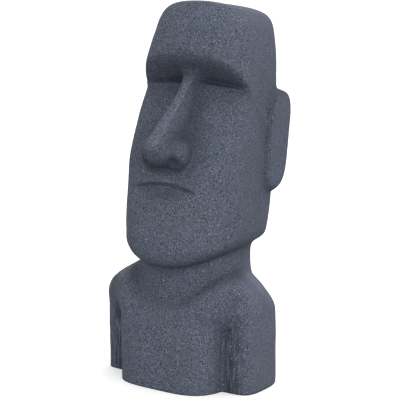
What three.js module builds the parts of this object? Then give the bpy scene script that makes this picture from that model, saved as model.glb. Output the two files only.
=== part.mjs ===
// Garden moai statue: a long head on a neck and a bust, cast in one piece with a flat underside.
// Millimetres, +Z up, the face looks along -Y, the statue is the same on both sides of X = 0.
// The skin is found by shooting rays from an inner spine to the edge of one blended body.
import * as THREE from 'three';

// overall sizes
const crownHeight = 777.5;
const columnCount = 30;
const rowCount = 76;

// bust: trunk with an arm cut off at the base on each side; a wider hull sets the slope of the shoulders
const trunk = { halfWidth: 122, front: 146, back: 140, y: 5, roundFront: 3.9, roundBack: 2.6 };
const arm = { halfWidth: 52, front: 62, back: 80, x: 131, y: -12, roundFront: 4.0, roundBack: 2.4 };
const hull = { halfWidth: 182, front: 134, back: 104, y: -5, roundFront: 3.2, roundBack: 2.8 };
const grooveBlend = 10;
const shoulderBlend = 118;
const grooveFades = [105, 175];
const shoulderRise = 0.56;
const frontLift = 24;
const frontLiftAcross = [40, 125];
const frontLiftAlong = [-20, 60];
const backLift = 20;
const backLiftAlong = [-60, 60];
const backLiftX = 105;
const backLiftWidth = 40;
const shoulderEdge = 56;
const roofScale = 0.88;
const collarHeight = 172;
const collarDip = 8;
const collarDipWidth = 20;
const collarBlend = 38;
const napeBlend = 60;
const napeAlong = [-40, 40];

// neck: one upright oval
const neck = { halfWidth: 100, front: 111, back: 118, y: 4, roundFront: 2.4, roundBack: 2.6, top: 330 };
const neckTopEdge = 5;
const throatBlend = 10;
const napeHeadBlend = 36;
const throatAlong = [-60, 40];

// head: oval sections by height, leaning back from the chin to the crown
const headLean = 0.17;
const headLeanFrom = 345;
const headLeanStart = 9;
const headHalfWidth = curve([[250, 113], [300, 129], [380, 135], [500, 134], [640, 127], [720, 113], [780, 93]]);
const headFront = curve([[250, 126], [300, 142], [380, 142], [500, 136], [640, 113], [780, 86]]);
const headBack = curve([[250, 115], [300, 118], [400, 111], [640, 92], [780, 78]]);
const headRoundness = curve([[250, 2.4], [345, 2.45], [400, 2.5], [470, 2.85], [640, 3.0], [780, 2.8]]);
const headBackRoundness = 4;
const crownSlope = 0.14;
const crownMiddleY = 10;
const crownArch = 0.0014;
const crownEdge = 42;
const jawHeight = 250;
const jawSlope = 0.10;
const jawArch = 0.0018;
const chinY = -110;
const chinEdge = 44;
const jawCornerEdge = 22;
const jawAlong = [0, 90];

// face: air under the brow and in front of the cheeks, with a deeper socket above the top of each cheek
const socketHeight = 611;
const browRise = 67;
const browReach = 52;
const browEdge = 34;
const browEndEdge = 18;
const browAcross = [30, 90];
const socketDepth = 17;
const socketHalfWidth = 124;
const cheek = { y: -5, z: 604, slope: 0.58, arch: 0.0011, topEdge: 8 };
const cheekTop = { y: -1, slope: 0.15, arch: 0.0006, edge: 5, blend: 9 };

// nose: a ridge between two sides, a ball at the tip, an egg for each wing and one cut out as nostril
const noseRidge = curve([[440, -142], [470, -150], [490, -150], [520, -130], [600, -45], [650, -4]]);
const noseHalfWidth = curve([[440, 25], [475, 23], [520, 19], [600, 15], [650, 26]]);
const noseFlare = 0.14;
const noseRidgeScale = 0.72;
const noseRidgeEdge = 26;
const noseBottom = { y: -95, z: 450, slope: 0.5, edge: 20 };
const noseTop = 668;
const noseTopEdge = 10;
const noseRootY = 30;
const noseRootEdge = 5;
const noseTip = { x: 0, y: -116, z: 488, width: 33, length: 33, tall: 32, blend: 18 };
const noseWing = { x: 34, y: -97, z: 480, width: 19, length: 28, tall: 31, blend: 20 };
const nostril = { x: 33, y: -122, z: 465, width: 7, length: 10, tall: 9, blend: 8 };
const noseBlend = 20;

// mouth: one arched groove with a lip above and a hollow below, carved in the front of the face only
const mouthHeight = 419;
const mouthHalfWidth = 80;
const mouthEndFade = 8;
const mouthArch = 12;
const mouthArchHalf = 70;
const mouthArchPower = 1.7;
const mouthDepth = 5;
const mouthGroove = 4.2;
const lip = { raise: 4.5, z: 430, tall: 13, width: 50 };
const lipHollow = { depth: 7, z: 401, tall: 14, width: 44 };
const carvingAlong = [20, -40];

// ear: a long flat pad on each side, leaning with the head
const ear = { x: 110, halfThick: 35, y: 101, halfLength: 42, z: 493, halfTall: 105, lean: 0.15, leanFrom: 500 };
const earCornerEdge = 80;
const earFaceEdge = 26;
const earBlend = 12;

// Larger of two distances with a rounded change over the width k.
function roundMax(a, b, k) {
  const h = Math.max(k - Math.abs(a - b), 0) / k;
  return Math.max(a, b) + h * h * h * k / 6;
}

// Smaller of two distances with a rounded change over the width k.
function roundMin(a, b, k) {
  return -roundMax(-a, -b, k);
}

// Eased change from 0 to 1 while v goes from the first end of the range to the other.
function ease([from, to], v) {
  const t = Math.min(Math.max((v - from) / (to - from), 0), 1);
  return t * t * (3 - 2 * t);
}

// Bell of height 1 around a centre.
function bell(v, centre, width) {
  return Math.exp(-(((v - centre) / width) ** 2));
}

// Value between two, by a share from 0 to 1.
function between(a, b, share) {
  return a + (b - a) * share;
}

// Slopes of a smooth curve at its stations: the harmonic mean of the slopes on both sides.
function stationSlopes(list) {
  const rises = list.slice(1).map((p, i) => (p[1] - list[i][1]) / (p[0] - list[i][0]));
  return list.map((p, i) => {
    const before = rises[Math.max(i - 1, 0)];
    const after = rises[Math.min(i, rises.length - 1)];
    return before * after <= 0 ? 0 : 2 * before * after / (before + after);
  });
}

// Smooth curve through pairs of height and value, held level outside them.
function curve(list) {
  const slopes = stationSlopes(list);
  const last = list.length - 1;
  return (z) => {
    const at = Math.min(Math.max(z, list[0][0]), list[last][0]);
    let i = 0;
    while (i < last - 1 && at > list[i + 1][0]) {
      i += 1;
    }
    const span = list[i + 1][0] - list[i][0];
    const t = (at - list[i][0]) / span;
    const t2 = t * t;
    const t3 = t2 * t;
    const level = (2 * t3 - 3 * t2 + 1) * list[i][1] + (3 * t2 - 2 * t3) * list[i + 1][1];
    return level + ((t3 - 2 * t2 + t) * slopes[i] + (t3 - t2) * slopes[i + 1]) * span;
  };
}

// Distance to an oval in plan with its own front and back reach and roundness.
function oval(x, y, shape) {
  const reach = y < 0 ? shape.front : shape.back;
  const n = y < 0 ? shape.roundFront : shape.roundBack;
  const q = (Math.abs(x / shape.halfWidth) ** n + Math.abs(y / reach) ** n) ** (1 / n);
  const r = Math.hypot(x, y) + 1e-9;
  return (q - 1) * r / Math.max(q, 1e-6);
}

// Distance to an egg with three half sizes.
function egg(x, y, z, shape) {
  const q = Math.hypot((x - shape.x) / shape.width, (y - shape.y) / shape.length, (z - shape.z) / shape.tall);
  return (q - 1) * Math.min(shape.width, shape.length, shape.tall);
}

function neckBody(x, y) {
  return oval(x, y - neck.y, neck);
}

// Trunk and arms with a groove between them, closed above by sloping shoulders.
function bust(x, y, z) {
  const middle = oval(x, y - trunk.y, trunk);
  const side = oval(x - arm.x, y - arm.y, arm);
  const plan = roundMin(middle, side, grooveBlend + shoulderBlend * ease(grooveFades, z));
  const inward = -oval(x, y - hull.y, hull);
  const lift = frontLift * ease(frontLiftAcross, x) * (1 - ease(frontLiftAlong, y));
  const rear = backLift * bell(x, backLiftX, backLiftWidth) * ease(backLiftAlong, y);
  const dip = collarDip * bell(Math.max(neckBody(x, y), 0), 0, collarDipWidth);
  const roof = collarHeight + shoulderRise * inward + lift + rear - dip;
  return roundMax(plan, (z - roof) * roofScale, shoulderEdge);
}

// Leaning head block with a sloping crown and a jaw line that rises to the back.
function headBlock(x, y, z) {
  const middleY = headLeanStart + headLean * (z - headLeanFrom);
  const wall = oval(x, y - middleY, {
    halfWidth: headHalfWidth(z),
    front: headFront(z),
    back: headBack(z),
    roundFront: headRoundness(z),
    roundBack: headBackRoundness,
  });
  const crown = z - (crownHeight - crownSlope * (y - crownMiddleY) - crownArch * x * x);
  const jaw = jawHeight + jawSlope * (y - chinY) + jawArch * x * x - z;
  const capped = roundMax(wall, crown, crownEdge);
  return roundMax(capped, jaw, between(chinEdge, jawCornerEdge, ease(jawAlong, y)));
}

// Air under a plane that falls from the edge of the brow to the socket's height, at a depth behind Y = 0.
function airUnderBrow(y, z, depth) {
  const slope = browRise / (browReach + depth);
  return (z - socketHeight + slope * (y - depth)) / Math.hypot(1, slope);
}

// Head block with the brow, the eye sockets and the cheeks cut into its front.
function faceBlock(x, y, z) {
  const block = headBlock(x, y, z);
  const edge = between(browEdge, browEndEdge, ease(browAcross, x));
  const depth = socketDepth * (1 - (x / socketHalfWidth) ** 3);
  const brow = roundMax(block, -airUnderBrow(y, z, depth), edge);
  const inFront = y - cheek.y + cheek.slope * (cheek.z - z) - cheek.arch * x * x;
  const wedge = roundMax(airUnderBrow(y, z, 0), inFront, cheek.topEdge);
  const top = socketHeight - cheekTop.arch * x * x + cheekTop.slope * (y - cheekTop.y);
  const cheeks = roundMax(roundMax(block, -wedge, edge), z - top, cheekTop.edge);
  return roundMin(brow, cheeks, cheekTop.blend);
}

// Nose: a ridge that widens downwards, with a round tip, wings and nostrils.
function nose(x, y, z) {
  const ridge = noseRidge(z);
  const side = x - noseHalfWidth(z) - noseFlare * (y - ridge);
  const front = (ridge - y) * noseRidgeScale;
  const under = noseBottom.z - z - noseBottom.slope * (y - noseBottom.y);
  const bar = roundMax(roundMax(side, front, noseRidgeEdge), under, noseBottom.edge);
  const tipped = roundMin(bar, egg(x, y, z, noseTip), noseTip.blend);
  const winged = roundMin(tipped, egg(x, y, z, noseWing), noseWing.blend);
  const held = roundMax(roundMax(winged, y - noseRootY, noseRootEdge), z - noseTop, noseTopEdge);
  return roundMax(held, -egg(x, y, z, nostril), nostril.blend);
}

function earPad(x, y, z) {
  const length = Math.abs(y - ear.y - ear.lean * (z - ear.leanFrom)) - ear.halfLength;
  const tall = Math.abs(z - ear.z) - ear.halfTall;
  const thick = Math.abs(x - ear.x) - ear.halfThick;
  return roundMax(roundMax(length, tall, earCornerEdge), thick, earFaceEdge);
}

// Pushes and cuts that shape the lips: positive cuts into the face.
function mouthCarving(x, y, z) {
  const line = mouthHeight - mouthArch * (x / mouthArchHalf) ** mouthArchPower;
  const fade = Math.max(1 - (x / mouthHalfWidth) ** mouthEndFade, 0);
  const groove = mouthDepth * fade * bell(z, line, mouthGroove);
  const hollow = lipHollow.depth * bell(z, lipHollow.z, lipHollow.tall) * bell(x, 0, lipHollow.width);
  const raise = lip.raise * bell(z, lip.z, lip.tall) * bell(x, 0, lip.width);
  return ease(carvingAlong, y) * (groove + hollow - raise);
}

// The whole statue: negative inside, positive outside.
function body(xSigned, y, z) {
  const x = Math.abs(xSigned);
  const face = faceBlock(x, y, z) + mouthCarving(x, y, z);
  const head = roundMin(roundMin(face, nose(x, y, z), noseBlend), earPad(x, y, z), earBlend);
  const column = roundMax(neckBody(x, y), z - neck.top, neckTopEdge);
  const lower = roundMin(column, bust(x, y, z), between(collarBlend, napeBlend, ease(napeAlong, y)));
  return roundMin(lower, head, between(throatBlend, napeHeadBlend, ease(throatAlong, y)));
}

// Spine of the rays: how far back it lies and how steeply its rays rise, by height.
const spineY = curve([[0, 5], [250, 5], [420, 22], [700, 60]]);
const rayRise = curve([[0, 0], [100, 0.5], [250, 0.05], [300, 0], [700, 0]]);
const spineTop = 700;
const crownShare = 0.2;
const rayReach = 420;

// Ray for a place s from 0 at the base to 1 at the crown, and an angle from the front.
function rayAt(s, angle) {
  const rising = Math.max((s - (1 - crownShare)) / crownShare, 0);
  const z = Math.min(s / (1 - crownShare), 1) * spineTop;
  const tilt = rising > 0 ? rising * Math.PI / 2 : Math.atan(rayRise(z));
  const out = Math.cos(tilt);
  return {
    from: new THREE.Vector3(0, spineY(z), z),
    to: new THREE.Vector3(Math.sin(angle) * out, -Math.cos(angle) * out, Math.sin(tilt)),
  };
}

// Point of the skin on a ray, by halving the span a number of times.
function skinPoint(s, angle, halvings) {
  const ray = rayAt(s, angle);
  const point = new THREE.Vector3();
  let inside = 0;
  let outside = rayReach;
  for (let i = 0; i < halvings; i += 1) {
    const middle = (inside + outside) / 2;
    point.copy(ray.from).addScaledVector(ray.to, middle);
    if (body(point.x, point.y, point.z) < 0) {
      inside = middle;
    } else {
      outside = middle;
    }
  }
  return point.copy(ray.from).addScaledVector(ray.to, (inside + outside) / 2);
}

// Coarse survey of the half skin that decides where rows and columns lie close.
const surveyRows = 200;
const surveyColumns = 90;
const surveyHalvings = 14;
const skinHalvings = 24;
const lastPlace = 0.999;
const turnWeight = 26;
const rowLineStep = 3;
const frontLineShare = 1.5;
const backLineShare = 0.7;
const mouthRowWeight = 2.2;
const mouthRowWidth = 14;
const farRowShare = 0.12;
const nearRowWidth = 0.07;

// Weight of every step along a line of points: its length plus how much the line turns.
function stepWeights(points) {
  const steps = points.slice(1).map((p, i) => p.clone().sub(points[i]));
  return steps.map((step, i) => {
    const before = steps[Math.max(i - 1, 0)];
    const after = steps[Math.min(i + 1, steps.length - 1)];
    return step.length() + turnWeight * before.angleTo(after);
  });
}

// Places from 0 to 1 that share out the weights evenly.
function sharedPlaces(weights, count) {
  const total = weights.reduce((sum, w) => sum + w, 0);
  const places = [0];
  let reached = 0;
  weights.forEach((w, i) => {
    while (places.length < count && (reached + w) / total >= places.length / count) {
      const part = (places.length / count * total - reached) / w;
      places.push((i + part) / weights.length);
    }
    reached += w;
  });
  places.push(1);
  return places;
}

function surveySkin() {
  const grid = [];
  for (let i = 0; i <= surveyRows; i += 1) {
    const row = [];
    for (let j = 0; j <= surveyColumns; j += 1) {
      row.push(skinPoint(i / surveyRows * lastPlace, j / surveyColumns * Math.PI, surveyHalvings));
    }
    grid.push(row);
  }
  return grid;
}

// Row places: the weights of many upright lines, with the face and the mouth counted most.
function rowPlaces(grid) {
  const total = new Array(surveyRows).fill(0);
  for (let j = 0; j <= surveyColumns; j += rowLineStep) {
    const share = j < surveyColumns / 2 ? frontLineShare : backLineShare;
    stepWeights(grid.map((row) => row[j])).forEach((w, i) => {
      const z = (i + 0.5) / surveyRows / (1 - crownShare) * spineTop;
      total[i] += share * w * (1 + mouthRowWeight * bell(z, mouthHeight, mouthRowWidth));
    });
  }
  return sharedPlaces(total, rowCount);
}

// Column angles of one row, from the survey rows around it.
function columnAngles(weights, s) {
  const sum = new Array(surveyColumns).fill(0);
  weights.forEach((row, i) => {
    const near = farRowShare + bell(i / surveyRows, s, nearRowWidth);
    row.forEach((w, j) => {
      sum[j] += near * w;
    });
  });
  return sharedPlaces(sum, columnCount).map((place) => place * Math.PI);
}

// Half of the skin as rows of points, then the full ring of each row.
function skinRings() {
  const grid = surveySkin();
  const weights = grid.map(stepWeights);
  const rings = rowPlaces(grid).slice(0, -1).map((s) => {
    const half = columnAngles(weights, s).map((angle) => skinPoint(s, angle, skinHalvings));
    half[0].x = 0;
    half[columnCount].x = 0;
    const other = half.slice(1, -1).reverse().map((p) => new THREE.Vector3(-p.x, p.y, p.z));
    return [...half, ...other];
  });
  rings[0].forEach((p) => {
    p.z = 0;
  });
  return rings;
}

// Closed skin: walls between the rings, a fan under the base and a fan on the crown.
function statueGeometry() {
  const rings = skinRings();
  const around = columnCount * 2;
  const crown = skinPoint(1, 0, skinHalvings);
  const foot = new THREE.Vector3(0, trunk.y, 0);
  const points = [...rings.flat(), crown, foot];
  const faces = [];
  for (let i = 0; i < rings.length - 1; i += 1) {
    for (let j = 0; j < around; j += 1) {
      const a = i * around + j;
      const b = i * around + (j + 1) % around;
      faces.push(a, b, b + around, a, b + around, a + around);
    }
  }
  const lastRing = (rings.length - 1) * around;
  for (let j = 0; j < around; j += 1) {
    const next = (j + 1) % around;
    faces.push(lastRing + j, lastRing + next, points.length - 2);
    faces.push(next, j, points.length - 1);
  }
  const geometry = new THREE.BufferGeometry().setFromPoints(points);
  geometry.setIndex(faces);
  return centred(geometry);
}

// The middle of the footprint goes to the origin and the underside to Z = 0.
function centred(geometry) {
  geometry.computeBoundingBox();
  const box = geometry.boundingBox;
  geometry.translate(0, -(box.min.y + box.max.y) / 2, -box.min.z);
  geometry.computeVertexNormals();
  return geometry;
}

function castStone() {
  return new THREE.MeshStandardMaterial({ name: 'cast_stone', color: 0x5a5d62, roughness: 0.85, metalness: 0 });
}

const statue = new THREE.Mesh(statueGeometry(), castStone());
statue.name = 'moai_statue';

const part = new THREE.Group();
part.name = 'moai';
part.add(statue);

export default part;
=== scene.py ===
import math

import bpy
import numpy as np
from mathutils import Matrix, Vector


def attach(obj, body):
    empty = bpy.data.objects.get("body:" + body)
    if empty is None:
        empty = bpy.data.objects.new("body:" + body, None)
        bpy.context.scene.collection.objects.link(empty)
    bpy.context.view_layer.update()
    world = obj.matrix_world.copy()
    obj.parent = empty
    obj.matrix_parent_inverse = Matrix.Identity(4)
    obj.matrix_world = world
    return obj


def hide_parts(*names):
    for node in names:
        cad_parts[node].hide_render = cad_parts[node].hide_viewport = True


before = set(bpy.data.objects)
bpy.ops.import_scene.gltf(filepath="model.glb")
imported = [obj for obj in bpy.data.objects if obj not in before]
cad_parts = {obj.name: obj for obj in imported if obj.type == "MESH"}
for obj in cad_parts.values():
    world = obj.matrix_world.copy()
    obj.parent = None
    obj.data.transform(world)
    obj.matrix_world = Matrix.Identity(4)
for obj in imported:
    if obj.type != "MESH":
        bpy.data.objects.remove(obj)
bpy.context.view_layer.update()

# Driving sizes in millimetres, as in the solid apart from a finer mouth, nostril and back of the head.
# The face looks along -Y.
MM = 0.001
MIDDLE_Y = 2.15

# Bust: a trunk and an arm on each side, under shoulders that follow a wider hull.
TRUNK = dict(half=122, front=146, back=140, x=0, y=5, round_front=3.9, round_back=2.6)
ARM = dict(half=52, front=62, back=80, x=131, y=-12, round_front=4.0, round_back=2.4)
HULL = dict(half=182, front=134, back=104, x=0, y=-5, round_front=3.2, round_back=2.8)
ARM_GROOVE = dict(blend=10, shoulder=118, fades=(105, 175))
SHOULDER = dict(rise=0.56, scale=0.88, edge=56)
FRONT_LIFT = dict(up=24, across=(40, 125), along=(-20, 60))
BACK_LIFT = dict(up=20, across=(105, 40), along=(-60, 60))
COLLAR = dict(height=172, dip=8, width=20, blend=38, nape=22, along=(-40, 40))

# Neck: one upright oval that is blended into the head, more widely at the nape than at the throat.
NECK = dict(half=100, front=111, back=118, x=0, y=4, round_front=2.4, round_back=2.6, top=330, edge=5)
THROAT = dict(blend=10, nape=26, along=(-60, 40))

# Head: oval sections by height that lean back, a sloping crown and a jaw that rises to the back.
HEAD_HALF = [(250, 113), (300, 129), (380, 135), (500, 134), (640, 127), (720, 113), (780, 93)]
HEAD_FRONT = [(250, 126), (300, 142), (380, 142), (500, 136), (640, 113), (780, 86)]
HEAD_BACK = [(250, 115), (300, 118), (400, 111), (640, 92), (780, 78)]
HEAD_ROUND = [(250, 2.4), (345, 2.45), (400, 2.5), (470, 2.85), (640, 3.0), (780, 2.8)]
HEAD_BACK_ROUND = 4
HEAD_LEAN = dict(slope=0.17, z=345, y=9)
CROWN = dict(height=777.5, slope=0.14, y=10, arch=0.0014, edge=42)
JAW = dict(height=250, slope=0.10, y=-110, arch=0.0018, edge=44, sharper=22, along=(0, 90))

# Face: air under the brow and in front of the cheeks, with a deeper socket above each cheek.
SOCKET_HEIGHT = 611
SOCKET_DEPTH = 17
SOCKET_HALF = 124
BROW_RISE = 67
BROW_REACH = 52
BROW_EDGE = dict(middle=34, sharper=16, across=(30, 90))
CHEEK = dict(y=-5, z=604, slope=0.58, arch=0.0011, edge=8)
CHEEK_TOP = dict(y=-1, slope=0.15, arch=0.0006, edge=5)
FACE_SEAM = dict(blend=9, sharper=8, along=(0, 40), upward=(520, 620))

# Nose: a ridge between two sides, a ball at its tip, an egg for each wing and one cut out for each nostril.
NOSE_RIDGE = [(440, -142), (470, -150), (490, -150), (520, -130), (600, -45), (650, -4)]
NOSE_HALF = [(440, 25), (475, 23), (520, 19), (600, 15), (650, 26)]
NOSE_SIDE = dict(flare=0.14, scale=0.72, edge=26)
NOSE_UNDER = dict(z=450, y=-95, slope=0.5, edge=20)
NOSE_TIP = dict(centre=(0, -116, 488), half=(33, 33, 32), blend=18)
NOSE_WING = dict(centre=(34, -97, 480), half=(19, 28, 31), blend=20)
NOSTRIL = dict(centre=(35, -123, 466), half=(6, 9, 8), blend=12)
NOSE_ROOT = dict(y=30, edge=5)
NOSE_TOP = dict(z=668, edge=10)
NOSE_BLEND = 20

# Mouth: an arched groove with a lip above and a hollow below, and ears: a flat leaning pad on each side.
MOUTH = dict(height=419, half=80, fade=8, arch=12, arch_half=70, arch_power=1.7, depth=4.5, width=3.0)
LIP = dict(out=4.5, up=(430, 13), across=(0, 50))
LIP_HOLLOW = dict(depth=7, up=(401, 14), across=(0, 44))
CARVING_ALONG = (20, -40)
EAR = dict(x=110, thick=35, y=101, length=42, z=493, tall=105, lean=0.15, lean_from=500)
EAR_EDGE = dict(corner=80, face=26, blend=12)

# The spine that the rays start from, and how steeply they rise, by height.
SPINE_Y = [(0, 5), (250, 5), (420, 22), (700, 60)]
RAY_RISE = [(0, 0), (100, 0.5), (250, 0.05), (300, 0), (700, 0)]
SPINE_TOP = 700
CROWN_SHARE = 0.2
CROWN_PLACE = 0.999
RAY_REACH = 420

# The visual mesh: rows from base to crown, columns on half the statue, closer together where it turns,
# in front and at the mouth.
ROWS = 308
HALF_COLUMNS = 160
SURVEY_ROWS = 400
SURVEY_COLUMNS = 120
SURVEY_HALVINGS = 16
SKIN_HALVINGS = 26
TURN_WEIGHT = 26
NORMAL_STEP = 0.5
FRONT_WEIGHT = 1.5
BACK_WEIGHT = 0.7
MOUTH_WEIGHT = 1.6
MOUTH_BAND = 16
COLUMN_SHARE = 0.12
COLUMN_BAND = 0.07

# Unevenness of the mould: swells, lumps and pits of one seed, height and cell each.
WIDE_SWELL = dict(seed=3, height=0.9, cell=95)
HAND_SWELL = dict(seed=5, height=0.45, cell=34)
LUMP = dict(seed=7, height=0.28, cell=13)
PIT = dict(seed=11, height=-1.1, cell=6.5)
PIT_LEVEL = 0.42
BACK_LUMPS = 0.35
LUMP_TURN = (0.3, -0.5)
BASE_FADE = (0, 14)

# Painted shade and painted light, with the edge wear and drag marks of the stone. Pairs are the centre and
# width of a bell, or the start and end of an eased change. The shelter's pairs are a reach and its share.
# Painted shade where the statue closes in round a point: how far out to look, and how much it darkens.
SHELTER_REACHES = [(4, 0.8), (12, 0.25), (32, 0.25), (60, 0.2), (90, 0.3)]
EDGE_REACH = 9
# Painted shade on faces that look down, above the foot.
UNDERSIDE = dict(share=0.05, down=(0.1, -0.75), up=(30, 60))
# Drag marks of the mould, with painted shade over them in the arm grooves and under the brow.
ARM_DRAG = dict(inner=(138, 12), outer=(151, 14), share=0.75, front=(0, -30), top=(168, 128))
BROW_DRAG = dict(up=(628, 18), front=(20, -20), share=0.25)
# Painted light: less painted shade on the upper lip and the nose's ridge.
LIP_LIGHT = dict(up=(433, 11), across=(0, 55), front=(20, -40))
RIDGE_LIGHT = dict(inside=(-1, -9), bottom=(485, 510), top=(640, 600), front=(0, -30))
PAINTED_LIGHT_SHARE = 0.75
# Painted highlight on the crest of each shoulder, further forward at negative x.
SHOULDER_HIGHLIGHT = dict(share=0.9, across=(100, 128), bottom=(188, 210), top=(262, 235), back=(70, 15))
SHOULDER_CREST = dict(facing_up=(0.05, 0.4), along=(-25, 5), lit_side=90)
# Painted shade in the pocket between neck and shoulder.
NECK_POCKET = dict(share=0.42, across=(123, 12), up=(230, 9), along=(-22, 25))
# Painted shade beside the nose's ridge, under its tip, in its nostrils, on its wings, below the mouth and in
# the eye hollows.
RIDGE_SHADE = dict(share=1.35, near=(2, 8), far=(34, 14), bottom=(490, 515), top=(640, 600), front=(10, -30))
TIP_SHADE = dict(share=1.3, top=(476, 464), bottom=(452, 458), front=(-96, -108), across=(60, 45))
CHIN_SHADE = dict(share=0.8, up=(402, 13), across=(0, 42), front=(0, -40))
NOSTRIL_SHADE = dict(share=2.2, centre=(35, -122, 469), half=(7, 9, 7), start=1.6, fall=0.9)
WING_SHADE = dict(share=0.5, across=(50, 14), up=(487, 18), front=(-70, -90))
EYE_SHADE = dict(share=0.5, across=(72, 42), up=(586, 20), front=(30, -5))
FAR_EYE_SHADE = dict(share=0.9, across=(-50, 20), up=(598, 17))
FACE_SHADE_SHARE = 0.36
# Painted shade: the head darker below its crown, and the cheek at negative x darker again.
HEAD_SHADE = dict(share=0.5, bottom=(255, 290), top=(760, 715))
SHADY_CHEEK = dict(share=0.5, across=(-45, -75), front=(0, -40), bottom=(400, 450), top=(625, 600))
HEAD_SHADE_SHARE = 0.36
BACK_GRAIN = 0.35
GRAIN_TURN = (0.35, -0.45)


def round_max(a, b, k):
    """Larger of a and b, plus a cubic bump: k/6 where they are equal, and none where they are k apart."""
    h = np.maximum(k - np.abs(a - b), 0) / k
    return np.maximum(a, b) + h ** 3 * k / 6


def round_min(a, b, k):
    """Smaller of a and b, rounded the same way."""
    return -round_max(-a, -b, k)


def ease(lo, hi, v):
    """0 below lo, 1 above hi, and three t squared less two t cubed between them."""
    t = np.clip((v - lo) / (hi - lo), 0, 1)
    return t * t * (3 - 2 * t)


def bell(v, centre, width):
    """e to the minus square of the distance from the centre, in widths."""
    return np.exp(-((v - centre) / width) ** 2)


def along(z, stations):
    """Cubic Hermite curve through (height, value) stations. The slope at each is the harmonic mean of the
    two beside it, or none where they turn."""
    heights = np.array([s[0] for s in stations], float)
    values = np.array([s[1] for s in stations], float)
    rise = np.diff(values) / np.diff(heights)
    same = rise[:-1] * rise[1:] > 0
    mean = np.where(same, 2 * rise[:-1] * rise[1:] / np.where(same, rise[:-1] + rise[1:], 1), 0)
    slope = np.concatenate([[rise[0]], mean, [rise[-1]]])
    z = np.clip(z, heights[0], heights[-1])
    i = np.clip(np.searchsorted(heights, z, side="right") - 1, 0, len(heights) - 2)
    span = heights[i + 1] - heights[i]
    t = (z - heights[i]) / span
    t2, t3 = t * t, t * t * t
    level = (2 * t3 - 3 * t2 + 1) * values[i] + (3 * t2 - 2 * t3) * values[i + 1]
    return level + ((t3 - 2 * t2 + t) * slope[i] + (t3 - t2) * slope[i + 1]) * span


def oval(x, y, half, front, back, round_front, round_back):
    """Distance from an oval in plan: q is the n-th root of |x/a|^n + |y/b|^n, and q - 1 is scaled to mm."""
    reach = np.where(y < 0, front, back)
    n = np.where(y < 0, round_front, round_back)
    q = (np.abs(x / half) ** n + np.abs(y / reach) ** n) ** (1 / n)
    return (q - 1) * np.hypot(x, y) / np.maximum(q, 1e-6)


def egg(x, y, z, centre, half):
    """Distance from an egg: length of the offset in half sizes, less one, times the smallest half size."""
    q = np.sqrt(((x - centre[0]) / half[0]) ** 2 + ((y - centre[1]) / half[1]) ** 2
                + ((z - centre[2]) / half[2]) ** 2)
    return (q - 1) * min(half)


def upright(x, y, body):
    """Distance from a body that is one oval from top to bottom, at its own place in plan."""
    return oval(x - body["x"], y - body["y"], body["half"], body["front"], body["back"],
                body["round_front"], body["round_back"])


def bust(x, y, z):
    """Rounded union of the trunk's oval and the arm's, cut by a roof that rises from the rim to the neck."""
    blend = ARM_GROOVE["blend"] + ARM_GROOVE["shoulder"] * ease(*ARM_GROOVE["fades"], z)
    plan = round_min(upright(x, y, TRUNK), upright(x, y, ARM), blend)
    inward = -upright(x, y, HULL)
    front = FRONT_LIFT["up"] * ease(*FRONT_LIFT["across"], x) * (1 - ease(*FRONT_LIFT["along"], y))
    rear = BACK_LIFT["up"] * bell(x, *BACK_LIFT["across"]) * ease(*BACK_LIFT["along"], y)
    dip = COLLAR["dip"] * bell(np.maximum(upright(x, y, NECK), 0), 0, COLLAR["width"])
    roof = COLLAR["height"] + SHOULDER["rise"] * inward + front + rear - dip
    return round_max(plan, (z - roof) * SHOULDER["scale"], SHOULDER["edge"])


def head_block(x, y, z):
    """Oval with sizes that follow the height and a middle that leans back, between sloping crown and jaw."""
    middle_y = HEAD_LEAN["y"] + HEAD_LEAN["slope"] * (z - HEAD_LEAN["z"])
    wall = oval(x, y - middle_y, along(z, HEAD_HALF), along(z, HEAD_FRONT), along(z, HEAD_BACK),
                along(z, HEAD_ROUND), HEAD_BACK_ROUND)
    crown = z - (CROWN["height"] - CROWN["slope"] * (y - CROWN["y"]) - CROWN["arch"] * x * x)
    jaw = JAW["height"] + JAW["slope"] * (y - JAW["y"]) + JAW["arch"] * x * x - z
    jaw_edge = JAW["edge"] - JAW["sharper"] * ease(*JAW["along"], y)
    return round_max(round_max(wall, crown, CROWN["edge"]), jaw, jaw_edge)


def face_wedge(x, y, z):
    """Air in front of the cheek plane and under the brow plane."""
    slope = BROW_RISE / BROW_REACH
    under_brow = (z - SOCKET_HEIGHT + slope * y) / np.hypot(1, slope)
    cheek = y - CHEEK["y"] + CHEEK["slope"] * (CHEEK["z"] - z) - CHEEK["arch"] * x * x
    return round_max(under_brow, cheek, CHEEK["edge"])


def socket_air(x, y, z):
    """Air under a plane from the brow's edge to the eye socket's floor, which gets shallower by x cubed."""
    depth = SOCKET_DEPTH * (1 - (x / SOCKET_HALF) ** 3)
    slope = BROW_RISE / (BROW_REACH + depth)
    return (z - SOCKET_HEIGHT + slope * (y - depth)) / np.hypot(1, slope)


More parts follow.
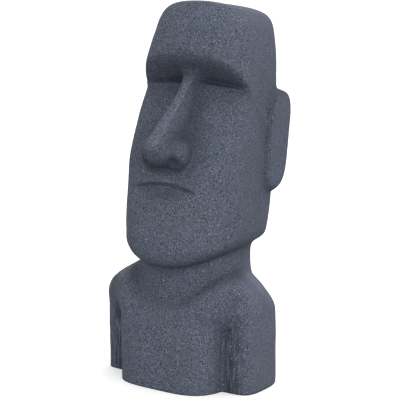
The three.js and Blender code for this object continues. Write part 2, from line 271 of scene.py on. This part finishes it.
def nose(x, y, z):
    """Rounded ridge plane between side planes, with an egg for tip and wing and a third one cut out."""
    ridge = along(z, NOSE_RIDGE)
    side = x - along(z, NOSE_HALF) - NOSE_SIDE["flare"] * (y - ridge)
    front = (ridge - y) * NOSE_SIDE["scale"]
    under = NOSE_UNDER["z"] - z - NOSE_UNDER["slope"] * (y - NOSE_UNDER["y"])
    bar = round_max(round_max(side, front, NOSE_SIDE["edge"]), under, NOSE_UNDER["edge"])
    tipped = round_min(bar, egg(x, y, z, NOSE_TIP["centre"], NOSE_TIP["half"]), NOSE_TIP["blend"])
    winged = round_min(tipped, egg(x, y, z, NOSE_WING["centre"], NOSE_WING["half"]), NOSE_WING["blend"])
    rooted = round_max(winged, y - NOSE_ROOT["y"], NOSE_ROOT["edge"])
    held = round_max(rooted, z - NOSE_TOP["z"], NOSE_TOP["edge"])
    return round_max(held, -egg(x, y, z, NOSTRIL["centre"], NOSTRIL["half"]), NOSTRIL["blend"])


def ear_pad(x, y, z):
    """Rounded box whose front and back lean with the head."""
    length = np.abs(y - EAR["y"] - EAR["lean"] * (z - EAR["lean_from"])) - EAR["length"]
    tall = np.abs(z - EAR["z"]) - EAR["tall"]
    thick = np.abs(x - EAR["x"]) - EAR["thick"]
    return round_max(round_max(length, tall, EAR_EDGE["corner"]), thick, EAR_EDGE["face"])


def mouth_carving(x, y, z):
    """Bell shaped groove on an arched line, a hollow below it and a raised lip above it."""
    line = MOUTH["height"] - MOUTH["arch"] * (x / MOUTH["arch_half"]) ** MOUTH["arch_power"]
    fade = np.maximum(1 - (x / MOUTH["half"]) ** MOUTH["fade"], 0)
    groove = MOUTH["depth"] * fade * bell(z, line, MOUTH["width"])
    hollow = LIP_HOLLOW["depth"] * bell(z, *LIP_HOLLOW["up"]) * bell(x, *LIP_HOLLOW["across"])
    lip = LIP["out"] * bell(z, *LIP["up"]) * bell(x, *LIP["across"])
    return ease(*CARVING_ALONG, y) * (groove + hollow - lip)


def statue_depth(x, y, z):
    """Signed distance in mm, roughly: negative inside the statue. Both sides are the same."""
    x = np.abs(x)
    block = head_block(x, y, z)
    brow_edge = BROW_EDGE["middle"] - BROW_EDGE["sharper"] * ease(*BROW_EDGE["across"], x)
    cheek_top = SOCKET_HEIGHT - CHEEK_TOP["arch"] * x * x + CHEEK_TOP["slope"] * (y - CHEEK_TOP["y"])
    brow = round_max(block, -socket_air(x, y, z), brow_edge)
    cheek = round_max(round_max(block, -face_wedge(x, y, z), brow_edge), z - cheek_top, CHEEK_TOP["edge"])
    sharper = FACE_SEAM["sharper"] * ease(*FACE_SEAM["along"], y) * ease(*FACE_SEAM["upward"], z)
    face = round_min(brow, cheek, FACE_SEAM["blend"] - sharper) + mouth_carving(x, y, z)
    nosed = round_min(face, nose(x, y, z), NOSE_BLEND)
    head = round_min(nosed, ear_pad(x, y, z), EAR_EDGE["blend"])
    column = round_max(upright(x, y, NECK), z - NECK["top"], NECK["edge"])
    collar_blend = COLLAR["blend"] + COLLAR["nape"] * ease(*COLLAR["along"], y)
    lower = round_min(column, bust(x, y, z), collar_blend)
    return round_min(lower, head, THROAT["blend"] + THROAT["nape"] * ease(*THROAT["along"], y))


def skin(place, angle, halvings):
    """Points where rays from the spine leave the statue, by halving the span. place is 0 at the base and 1
    at the crown: the rays climb the spine, and in the last share they swing up to the vertical."""
    rising = np.maximum((place - (1 - CROWN_SHARE)) / CROWN_SHARE, 0)
    z = np.minimum(place / (1 - CROWN_SHARE), 1) * SPINE_TOP
    tilt = np.where(rising > 0, rising * np.pi / 2, np.arctan(along(z, RAY_RISE)))
    start = np.stack([0 * z, along(z, SPINE_Y), z], -1)
    ray = np.stack([np.sin(angle) * np.cos(tilt), -np.cos(angle) * np.cos(tilt), np.sin(tilt)], -1)
    near = np.zeros(place.shape)
    far = np.full(place.shape, float(RAY_REACH))
    for _ in range(halvings):
        middle = (near + far) / 2
        p = start + ray * middle[..., None]
        inside = statue_depth(p[..., 0], p[..., 1], p[..., 2]) < 0
        near = np.where(inside, middle, near)
        far = np.where(inside, far, middle)
    return start + ray * ((near + far) / 2)[..., None]


def step_weights(points):
    """Along the first axis: the length of each step plus the angle between its neighbours times a weight."""
    step = np.diff(points, axis=0)
    length = np.linalg.norm(step, axis=-1)
    heading = step / (length[..., None] + 1e-9)
    before = np.concatenate([heading[:1], heading[:-1]])
    after = np.concatenate([heading[1:], heading[-1:]])
    return length + TURN_WEIGHT * np.arccos(np.clip((before * after).sum(-1), -1, 1))


def shared_places(weights, count):
    """Places from 0 to 1 between which the running sum of the weights grows by equal amounts."""
    total = np.concatenate([[0], np.cumsum(weights)])
    return np.interp(np.linspace(0, total[-1], count + 1), total, np.linspace(0, 1, len(weights) + 1))


def skin_grid():
    """Rows by columns of skin points: a coarse survey of the half statue shares out rows and columns by
    length and turning, the half is found at those places, and the other half is its mirror image."""
    places, angles = np.meshgrid(np.linspace(0, CROWN_PLACE, SURVEY_ROWS + 1),
                                 np.linspace(0, np.pi, SURVEY_COLUMNS + 1), indexing="ij")
    survey = skin(places, angles, SURVEY_HALVINGS)
    facing = np.where(angles[0] < np.pi / 2, FRONT_WEIGHT, BACK_WEIGHT)
    height = np.minimum((np.arange(SURVEY_ROWS) + 0.5) / SURVEY_ROWS / (1 - CROWN_SHARE), 1) * SPINE_TOP
    at_mouth = 1 + MOUTH_WEIGHT * bell(height, MOUTH["height"], MOUTH_BAND)
    row_weight = (step_weights(survey) * facing).sum(1) * at_mouth
    rows = shared_places(row_weight, ROWS)[:-1] * CROWN_PLACE
    column_weight = step_weights(np.swapaxes(survey, 0, 1)).T
    mix = COLUMN_SHARE + bell(np.linspace(0, 1, SURVEY_ROWS + 1)[None], rows[:, None], COLUMN_BAND)
    local = (mix @ column_weight) / mix.sum(1, keepdims=True)
    columns = np.stack([shared_places(w, HALF_COLUMNS) * np.pi for w in local])
    half = skin(np.repeat(rows[:, None], HALF_COLUMNS + 1, 1), columns, SKIN_HALVINGS)
    half[:, [0, -1], 0] = 0
    other = half[:, 1:-1][:, ::-1] * (-1, 1, 1)
    return np.concatenate([half, other], 1)


def depth_normals(points):
    """Outward directions: the slope of the distance by half a millimetre each way, made one long."""
    x, y, z = np.moveaxis(points, -1, 0)
    h = NORMAL_STEP
    slope = np.stack([
        statue_depth(x + h, y, z) - statue_depth(x - h, y, z),
        statue_depth(x, y + h, z) - statue_depth(x, y - h, z),
        statue_depth(x, y, z + h) - statue_depth(x, y, z - h)], -1)
    return slope / (np.linalg.norm(slope, axis=-1, keepdims=True) + 1e-9)


class Lumps:
    """Smooth noise: random heights on a cubic lattice that repeats, eased between its corners."""

    size = 32

    def __init__(self, seed):
        self.table = np.random.default_rng(seed).uniform(-1, 1, (self.size, self.size, self.size))

    def at(self, points, cell):
        """Value at each point for cells of that size in mm."""
        scaled = points / cell
        corner = np.floor(scaled).astype(int)
        t = scaled - corner
        t = t * t * (3 - 2 * t)
        total = 0
        for i in (0, 1):
            for j in (0, 1):
                for k in (0, 1):
                    a, b, c = np.moveaxis((corner + (i, j, k)) % self.size, -1, 0)
                    value = self.table[a, b, c]
                    share = np.where(i, t[..., 0], 1 - t[..., 0]) * np.where(j, t[..., 1], 1 - t[..., 1])
                    total = total + value * share * np.where(k, t[..., 2], 1 - t[..., 2])
        return total


def uneven(points, kind, level=None):
    """Noise of one kind times its height, or only what lies above a level of it."""
    noise = Lumps(kind["seed"]).at(points, kind["cell"])
    return kind["height"] * (noise if level is None else np.maximum(noise - level, 0))


def hand_worked(points, normals):
    """Unevenness of the mould, in mm along the normal: wide swells, hand sized lumps, and small pits where
    fine noise is highest. It fades out at the base, so the statue still stands flat."""
    front = BACK_LUMPS + (1 - BACK_LUMPS) * ease(*LUMP_TURN, normals[..., 1])
    swell = uneven(points, WIDE_SWELL) + uneven(points, HAND_SWELL)
    lump = uneven(points, LUMP)
    pit = uneven(points, PIT, PIT_LEVEL)
    return (swell + (lump + pit) * front) * ease(*BASE_FADE, points[..., 2])


def shelter(points, normals, reach):
    """How closed in a point is, 0 to 1: one less the distance found a reach away over that reach."""
    p = points + normals * reach
    return np.clip(1 - statue_depth(p[..., 0], p[..., 1], p[..., 2]) / reach, 0, 1)


def thinness(points, normals, reach):
    """How sharp an edge a point lies on, 0 to 1: the same measured inwards."""
    p = points - normals * reach
    return np.clip(1 + statue_depth(p[..., 0], p[..., 1], p[..., 2]) / reach, 0, 1)


def painted_underside_shade(points, normals):
    """How much a face looks down, 0 to 1, above the foot: painted shade, darker the more it looks down."""
    return ease(*UNDERSIDE["down"], normals[..., 2]) * ease(*UNDERSIDE["up"], points[..., 2])


def drag_marks_and_shade(points):
    """Where the mould left upright drag marks and painted shade, 0 to 1: beside the groove of each arm and
    under the brow.
    """
    x, y, z = np.abs(points[..., 0]), points[..., 1], points[..., 2]
    beside = np.maximum(bell(x, *ARM_DRAG["inner"]), ARM_DRAG["share"] * bell(x, *ARM_DRAG["outer"]))
    groove = beside * ease(*ARM_DRAG["front"], y) * ease(*ARM_DRAG["top"], z)
    brow = bell(z, *BROW_DRAG["up"]) * ease(*BROW_DRAG["front"], y) * BROW_DRAG["share"]
    return np.maximum(groove, brow)


def painted_lip_and_ridge_light(points):
    """The upper lip and the nose's ridge, 0 to 1, as bells and eased ends: painted light that takes away
    painted shade.
    """
    x, y, z = np.moveaxis(points, -1, 0)
    lip = bell(z, *LIP_LIGHT["up"]) * bell(x, *LIP_LIGHT["across"]) * ease(*LIP_LIGHT["front"], y)
    ridge = ease(*RIDGE_LIGHT["inside"], np.abs(x) - along(z, NOSE_HALF)) * ease(*RIDGE_LIGHT["bottom"], z)
    ridge = ridge * ease(*RIDGE_LIGHT["top"], z) * ease(*RIDGE_LIGHT["front"], y)
    return np.maximum(lip, ridge)


def painted_shoulder_highlight(points, normals):
    """Painted highlight on the crest of each shoulder, 0 to 1: what faces up, outside the neck and high on
    the bust, further forward at negative x."""
    x, y, z = np.moveaxis(points, -1, 0)
    forward = np.where(x < 0, SHOULDER_CREST["lit_side"], 0)
    outside = ease(*SHOULDER_HIGHLIGHT["across"], np.abs(x)) * ease(*SHOULDER_HIGHLIGHT["bottom"], z)
    outside = outside * ease(*SHOULDER_HIGHLIGHT["top"], z) * ease(*SHOULDER_HIGHLIGHT["back"], y)
    facing = ease(*SHOULDER_CREST["facing_up"], normals[..., 2])
    return outside * facing * ease(*SHOULDER_CREST["along"], y + forward)


def painted_neck_shade(points):
    """Painted shade in the pocket between neck and shoulder, 0 to 1: a bell in each direction."""
    x, y, z = np.moveaxis(points, -1, 0)
    pocket = bell(np.abs(x), *NECK_POCKET["across"]) * bell(z, *NECK_POCKET["up"])
    return pocket * bell(y, *NECK_POCKET["along"])


def painted_face_shade(points):
    """Painted shade on both sides of the nose's ridge, under its tip, on its wings, in its nostrils, below
    the mouth and in the eye hollows, more in the one at negative x, 0 and up."""
    x, y, z = np.moveaxis(points, -1, 0)
    aside = np.abs(x)
    beside = aside - along(z, NOSE_HALF)
    side = ease(*RIDGE_SHADE["near"], beside) * ease(*RIDGE_SHADE["far"], beside)
    side = side * ease(*RIDGE_SHADE["bottom"], z) * ease(*RIDGE_SHADE["top"], z)
    side = RIDGE_SHADE["share"] * (side * ease(*RIDGE_SHADE["front"], y))
    under = TIP_SHADE["share"] * ease(*TIP_SHADE["top"], z) * ease(*TIP_SHADE["bottom"], z)
    under = under * ease(*TIP_SHADE["front"], y) * ease(*TIP_SHADE["across"], aside)
    chin = CHIN_SHADE["share"] * bell(z, *CHIN_SHADE["up"]) * bell(x, *CHIN_SHADE["across"])
    chin = chin * ease(*CHIN_SHADE["front"], y)
    depth = NOSTRIL_SHADE["fall"] * egg(aside, y, z, NOSTRIL_SHADE["centre"], NOSTRIL_SHADE["half"])
    depth = NOSTRIL_SHADE["start"] - depth / min(NOSTRIL_SHADE["half"])
    nostril = NOSTRIL_SHADE["share"] * np.clip(depth, 0, 1)
    wing = WING_SHADE["share"] * bell(aside, *WING_SHADE["across"]) * bell(z, *WING_SHADE["up"])
    wing = wing * ease(*WING_SHADE["front"], y)
    eye = EYE_SHADE["share"] * bell(aside, *EYE_SHADE["across"]) * bell(z, *EYE_SHADE["up"])
    far_eye = FAR_EYE_SHADE["share"] * bell(x, *FAR_EYE_SHADE["across"]) * bell(z, *FAR_EYE_SHADE["up"])
    eye = (eye + far_eye) * ease(*EYE_SHADE["front"], y)
    return np.maximum.reduce([side, under, chin, wing, eye, nostril])


def painted_head_shade(points):
    """Painted shade: the head evenly darker below its crown, 0 to 1, and as much again on the shady cheek.
    """
    x, y, z = np.moveaxis(points, -1, 0)
    all_round = HEAD_SHADE["share"] * ease(*HEAD_SHADE["bottom"], z) * ease(*HEAD_SHADE["top"], z)
    cheek = SHADY_CHEEK["share"] * ease(*SHADY_CHEEK["across"], x) * ease(*SHADY_CHEEK["front"], y)
    cheek = cheek * ease(*SHADY_CHEEK["bottom"], z) * ease(*SHADY_CHEEK["top"], z)
    return all_round + cheek


def painted_shade_and_marks(points, normals):
    """The four marks that the stone's material reads, each a value for every point of the grid: painted
    shade and light, edge wear with a painted shoulder highlight, drag marks with painted shade, and grain.
    """
    # Painted shade: darker under overhangs, where the statue closes in round a point, beside the nose, on
    # the head and in the neck pocket.
    open_share = 1 - UNDERSIDE["share"] * painted_underside_shade(points, normals)
    for reach, share in SHELTER_REACHES:
        open_share = open_share * (1 - share * shelter(points, normals, reach))
    open_share = open_share * (1 - FACE_SHADE_SHARE * painted_face_shade(points))
    open_share = open_share * (1 - HEAD_SHADE_SHARE * painted_head_shade(points))
    open_share = open_share * (1 - NECK_POCKET["share"] * painted_neck_shade(points))
    # Painted light: less of that painted shade on the upper lip and the nose's ridge.
    open_share = 1 - (1 - open_share) * (1 - PAINTED_LIGHT_SHARE * painted_lip_and_ridge_light(points))
    # Painted highlight on the shoulder crests, joined to the wear of sharp edges.
    painted_highlight = SHOULDER_HIGHLIGHT["share"] * painted_shoulder_highlight(points, normals)
    return {
        "painted_shade": 1 - open_share,
        "edge": np.maximum(thinness(points, normals, EDGE_REACH), painted_highlight),
        "drag_and_shade": drag_marks_and_shade(points),
        "grain": BACK_GRAIN + (1 - BACK_GRAIN) * ease(*GRAIN_TURN, normals[..., 1]),
    }


def statue_mesh():
    """The skin grid joined in rings, with a fan on the crown and a fan under the base."""
    grid = skin_grid()
    grid[0, :, 2] = 0
    normals = depth_normals(grid)
    marks = painted_shade_and_marks(grid, normals)
    skin_points = grid + normals * hand_worked(grid, normals)[..., None]
    rows, around = grid.shape[:2]
    i, j = np.meshgrid(np.arange(rows - 1), np.arange(around), indexing="ij")
    k = (j + 1) % around
    low, high = i * around, (i + 1) * around
    walls = np.stack([low + j, low + k, high + k, high + j], -1).reshape(-1, 4)
    ring = np.arange(around)
    ahead = (ring + 1) % around
    last = (rows - 1) * around
    crown = rows * around
    crown_fan = np.stack([last + ring, last + ahead, np.full(around, crown)], -1)
    base_fan = np.stack([ahead, ring, np.full(around, crown + 1)], -1)
    ends = [skin_points[-1].mean(0), (0, TRUNK["y"], 0)]
    points = (np.concatenate([skin_points.reshape(-1, 3), ends]) - (0, MIDDLE_Y, 0)) * MM
    mesh = bpy.data.meshes.new("moai_skin")
    mesh.from_pydata(points, [], walls.tolist() + crown_fan.tolist() + base_fan.tolist())
    for name, values in marks.items():
        layer = mesh.attributes.new(name, "FLOAT", "POINT")
        at_ends = [values[-1].mean(), 0.0]
        layer.data.foreach_set("value", np.concatenate([values.ravel(), at_ends]).astype(np.float32))
    mesh.shade_smooth()
    smooth = np.ones(len(mesh.polygons), bool)
    smooth[-around:] = False
    mesh.polygons.foreach_set("use_smooth", smooth)
    return mesh


class Nodes:
    """Short calls for building a node tree."""

    def __init__(self, tree):
        self.tree = tree

    def put(self, socket, value):
        """Link an output into the socket, or set anything else as the socket's own value."""
        if isinstance(value, bpy.types.NodeSocket):
            self.tree.links.new(value, socket)
        else:
            socket.default_value = value

    def add(self, kind, **inputs):
        """A node of that kind with inputs by name, or by number after a low line."""
        node = self.tree.nodes.new("ShaderNode" + kind)
        for name, value in inputs.items():
            key = int(name[1:]) if name[0] == "_" else name.replace("_", " ")
            self.put(node.inputs[key], value)
        return node

    def math(self, operation, a, b, clamp=False):
        """One operation on two values."""
        node = self.add("Math", _0=a, _1=b)
        node.operation = operation
        node.use_clamp = clamp
        return node.outputs[0]

    def scaled(self, value, share):
        """A value times a fixed share."""
        return self.math("MULTIPLY", value, share)

    def spread(self, value, low, high, to_low=0.0, to_high=1.0):
        """A value mapped from one range to another, and held at its ends."""
        node = self.add("MapRange", Value=value, From_Min=low, From_Max=high, To_Min=to_low, To_Max=to_high)
        return node.outputs["Result"]

    def mix(self, factor, a, b):
        """Colour a, turned into colour b as far as the factor says. The numbers are the colour sockets."""
        node = self.tree.nodes.new("ShaderNodeMix")
        node.data_type = "RGBA"
        node.clamp_factor = True
        self.put(node.inputs[0], factor)
        self.put(node.inputs[6], a)
        self.put(node.inputs[7], b)
        return node.outputs[2]

    def mark(self, name):
        """The mesh's own value of that name."""
        node = self.tree.nodes.new("ShaderNodeAttribute")
        node.attribute_name = name
        return node.outputs["Fac"]

    def noise(self, place, scale, detail, roughness):
        """Smooth noise, 0 to 1."""
        node = self.add("TexNoise", Vector=place, Scale=scale, Detail=detail, Roughness=roughness)
        return node.outputs["Fac"]


# The stone's colours, linear.
STONE = (0.084, 0.100, 0.144, 1)
STONE_DARK = (0.020, 0.025, 0.037, 1)
STONE_LIGHT = (0.246, 0.280, 0.366, 1)
STONE_WARM = (0.090, 0.098, 0.133, 1)
GLINT = (0.46, 0.50, 0.58, 1)

# Its noises: cells per metre, detail and roughness.
CLOUD = (9.0, 3.0, 0.55)
BLOTCH = (38.0, 3.0, 0.6)
GRAIN = (500.0, 2.0, 0.65)
COARSE = (210.0, 2.0, 0.6)
STREAK = (300.0, 2.0, 0.6)
STREAK_STRETCH = (1.0, 1.0, 0.09)
GLINT_CELLS = 105.0
GLINT_CHOSEN = 0.80

# Where each noise or mark starts to show and shows in full, then what it gives at both ends if not 0 and 1.
CLOUD_RANGE = (0.35, 0.65)
BLOTCH_RANGE = (0.3, 0.75, 0.0, 0.22)
SPECK_RANGE = (0.50, 0.70)
PIT_RANGE = (0.47, 0.36)
DARK_STREAK_RANGE = (0.52, 0.40)
LIGHT_STREAK_RANGE = (0.56, 0.68)
GLINT_RANGE = (0.17, 0.10)
EDGE_RANGE = (0.35, 0.95)
EDGE_GRAIN_RANGE = (0.35, 0.6)
PAINTED_SHADE_RANGE = (0.08, 0.8, 0.0, 0.70)
RELIEF_RANGE = (0.35, 1.0, 0.35, 0.8)
ROUGHNESS_RANGE = (0.3, 0.7, 0.92, 0.74)

# How much each of them tints the stone, what the pits are made from, and what its relief is made from.
SPECK_TINT = 0.95
PIT_TINT = 0.97
DRAG_SHADE_TINT = 0.35
DARK_STREAK_TINT = 0.7
LIGHT_STREAK_TINT = 0.6
GLINT_TINT = 0.6
EDGE_AND_HIGHLIGHT_TINT = 0.35
PIT_FROM = dict(grain=0.6, coarse=0.4)
RELIEF_FROM = dict(grain=0.55, coarse=0.45, streak=0.8, pit=0.35)
BUMP_STRENGTH = 0.9
BUMP_DISTANCE = 0.0019
SPECULAR_LEVEL = 0.35


def cast_stone():
    """Dark blue grey cast stone: cloudy tint, 2 to 4 mm grain, dark pits, pale glints, drag marks, painted
    shade in recesses, under overhangs and over the drag marks, and worn edges with a painted highlight on
    the shoulders, with bump from the same grain."""
    material = bpy.data.materials.new("cast_stone")
    material.use_nodes = True
    n = Nodes(material.node_tree)
    material.node_tree.nodes.clear()
    place = n.add("TexCoord").outputs["Object"]
    # Marks: painted shade, edge wear with a painted highlight on the shoulders, drag marks with painted
    # shade, and grain.
    grainy, painted_shade, edge, drag_and_shade = n.mark("grain"), n.mark("painted_shade"), n.mark("edge"), n.mark("drag_and_shade")
    grain = n.noise(place, *GRAIN)
    coarse = n.noise(place, *COARSE)
    streak = n.noise(n.add("Mapping", Vector=place, Scale=STREAK_STRETCH).outputs["Vector"], *STREAK)

    tint = n.mix(n.spread(n.noise(place, *CLOUD), *CLOUD_RANGE), STONE, STONE_WARM)
    tint = n.mix(n.spread(n.noise(place, *BLOTCH), *BLOTCH_RANGE), tint, STONE_DARK)

    speck = n.math("MULTIPLY", n.spread(grain, *SPECK_RANGE), grainy, clamp=True)
    tint = n.mix(n.scaled(speck, SPECK_TINT), tint, STONE_LIGHT)
    hollows = n.math("ADD", n.scaled(grain, PIT_FROM["grain"]), n.scaled(coarse, PIT_FROM["coarse"]))
    pit = n.math("MULTIPLY", n.spread(hollows, *PIT_RANGE), grainy, clamp=True)
    tint = n.mix(n.scaled(pit, PIT_TINT), tint, STONE_DARK)

    dark_streak = n.math("MULTIPLY", n.spread(streak, *DARK_STREAK_RANGE), drag_and_shade, clamp=True)
    light_streak = n.math("MULTIPLY", n.spread(streak, *LIGHT_STREAK_RANGE), drag_and_shade, clamp=True)
    # Painted shade over the whole drag zone; the streaks after it are the drag marks.
    tint = n.mix(n.scaled(drag_and_shade, DRAG_SHADE_TINT), tint, STONE_DARK)
    tint = n.mix(n.scaled(dark_streak, DARK_STREAK_TINT), tint, STONE_DARK)
    tint = n.mix(n.scaled(light_streak, LIGHT_STREAK_TINT), tint, STONE_LIGHT)

    cells = n.add("TexVoronoi", Vector=place, Scale=GLINT_CELLS, Randomness=1.0)
    draw = n.add("SeparateColor", Color=cells.outputs["Color"]).outputs[0]
    chosen = n.math("GREATER_THAN", draw, GLINT_CHOSEN)
    near_seed = n.spread(cells.outputs["Distance"], *GLINT_RANGE)
    glint = n.math("MULTIPLY", n.math("MULTIPLY", near_seed, chosen), grainy, clamp=True)
    tint = n.mix(n.scaled(glint, GLINT_TINT), tint, GLINT)

    # Edge wear, and the painted highlight on the shoulder crests, lighten the stone.
    edge_and_highlight = n.math("MULTIPLY", n.spread(edge, *EDGE_RANGE), n.spread(coarse, *EDGE_GRAIN_RANGE), clamp=True)
    tint = n.mix(n.scaled(edge_and_highlight, EDGE_AND_HIGHLIGHT_TINT), tint, STONE_LIGHT)
    # Painted shade darkens the stone.
    tint = n.mix(n.spread(painted_shade, *PAINTED_SHADE_RANGE), tint, STONE_DARK)

    height = n.math("ADD", n.scaled(grain, RELIEF_FROM["grain"]), n.scaled(coarse, RELIEF_FROM["coarse"]))
    height = n.math("ADD", height, n.scaled(n.math("MULTIPLY", streak, drag_and_shade), RELIEF_FROM["streak"]))
    height = n.math("SUBTRACT", height, n.scaled(pit, RELIEF_FROM["pit"]))
    height = n.math("MULTIPLY", height, n.spread(grainy, *RELIEF_RANGE))
    bump = n.add("Bump", Strength=BUMP_STRENGTH, Distance=BUMP_DISTANCE, Height=height)
    roughness = n.spread(grain, *ROUGHNESS_RANGE)
    shader = n.add("BsdfPrincipled", Base_Color=tint, Roughness=roughness, Normal=bump.outputs["Normal"])
    shader.inputs["Specular IOR Level"].default_value = SPECULAR_LEVEL
    n.add("OutputMaterial", Surface=shader.outputs[0])
    return material


# The stage, in metres: a pale floor, the camera (its lens and sensor in millimetres) and the lamps.
FLOOR_SEEN = (0.96, 0.96, 0.96, 1)
FLOOR_BOUNCE = (0.37, 0.37, 0.38, 1)
FLOOR_LIFT = 0.25
FLOOR_HALF = 60.0
WHITE = (1, 1, 1, 1)


def pale_floor():
    """A large plain sheet under the statue: white to the camera, grey to the light that bounces off it."""
    material = bpy.data.materials.new("pale_floor")
    material.use_nodes = True
    n = Nodes(material.node_tree)
    material.node_tree.nodes.clear()
    seen = n.add("LightPath").outputs["Is Camera Ray"]
    tint = n.mix(seen, FLOOR_BOUNCE, FLOOR_SEEN)
    matt = n.add("BsdfDiffuse", Color=tint)
    lift = n.add("Emission", Color=WHITE, Strength=n.scaled(seen, FLOOR_LIFT))
    both = n.add("AddShader", _0=matt.outputs[0], _1=lift.outputs[0])
    n.add("OutputMaterial", Surface=both.outputs[0])
    mesh = bpy.data.meshes.new("floor")
    corners = [(-1, -1), (1, -1), (1, 1), (-1, 1)]
    mesh.from_pydata([(x * FLOOR_HALF, y * FLOOR_HALF, 0) for x, y in corners], [], [(0, 1, 2, 3)])
    mesh.materials.append(material)
    floor = bpy.data.objects.new("floor", mesh)
    bpy.context.collection.objects.link(floor)


CAMERA_AZIMUTH = 35
CAMERA_DISTANCE = 2.900
CAMERA_HEIGHT = 0.940
CAMERA_LENS = 129.24
CAMERA_SENSOR = 36
CAMERA_CLIP_END = 200
CAMERA_TARGET = (0.0114, 0.0034 - MIDDLE_Y * MM, 0.3701)


def photo_camera():
    """The camera stands 35 degrees round from the front, a little above the crown, aimed at mid height."""
    data = bpy.data.cameras.new("camera")
    data.lens = CAMERA_LENS
    data.sensor_width = CAMERA_SENSOR
    data.clip_end = CAMERA_CLIP_END
    camera = bpy.data.objects.new("camera", data)
    bpy.context.collection.objects.link(camera)
    a = math.radians(CAMERA_AZIMUTH)
    ahead = math.cos(a) * CAMERA_DISTANCE + MIDDLE_Y * MM
    camera.location = (math.sin(a) * CAMERA_DISTANCE, -ahead, CAMERA_HEIGHT)
    camera.rotation_euler = (Vector(CAMERA_TARGET) - camera.location).to_track_quat("-Z", "Y").to_euler()
    bpy.context.scene.camera = camera


KEY_LAMP = dict(place=(1.7, -2.3, 0.8), size=1.6, watts=16, target=(0, 0, 0.2))
RIM_LAMP = dict(place=(-0.9, 2.1, 2.3), size=1.4, watts=12, target=(0, 0, 0.3))
ROOM_SIDE = (0.95, 0.3, 0.0)
ROOM_RANGE = (-1.0, 1.0, 0.68, 1.52)


def soft_light(name, place, size, watts, target):
    """A square lamp that faces the statue."""
    data = bpy.data.lights.new(name, "AREA")
    data.energy = watts
    data.size = size
    lamp = bpy.data.objects.new(name, data)
    bpy.context.collection.objects.link(lamp)
    lamp.location = place
    lamp.rotation_euler = (Vector(target) - Vector(place)).to_track_quat("-Z", "Y").to_euler()


def studio():
    """White room light, brighter from the right, with a soft key lamp at the front right and a weak rim
    lamp behind."""
    world = bpy.data.worlds.new("studio")
    world.use_nodes = True
    n = Nodes(world.node_tree)
    world.node_tree.nodes.clear()
    direction = n.add("TexCoord").outputs["Generated"]
    side = n.add("VectorMath", _0=direction, _1=ROOM_SIDE)
    side.operation = "DOT_PRODUCT"
    glow = n.spread(side.outputs["Value"], *ROOM_RANGE)
    room = n.add("Background", Color=WHITE, Strength=glow)
    seen = n.add("Background", Color=WHITE, Strength=1.0)
    by_camera = n.add("LightPath").outputs["Is Camera Ray"]
    both = n.add("MixShader", _0=by_camera, _1=room.outputs[0], _2=seen.outputs[0])
    n.add("OutputWorld", Surface=both.outputs[0])
    bpy.context.scene.world = world
    soft_light("key", **KEY_LAMP)
    soft_light("rim", **RIM_LAMP)
    bpy.context.scene.view_settings.view_transform = "Standard"


def statue():
    """The fine skin stands for the solid."""
    mesh = statue_mesh()
    mesh.materials.append(cast_stone())
    piece = bpy.data.objects.new("moai_skin", mesh)
    bpy.context.collection.objects.link(piece)
    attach(piece, "root")
    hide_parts("moai_statue")


photo_camera()
studio()
pale_floor()
statue()
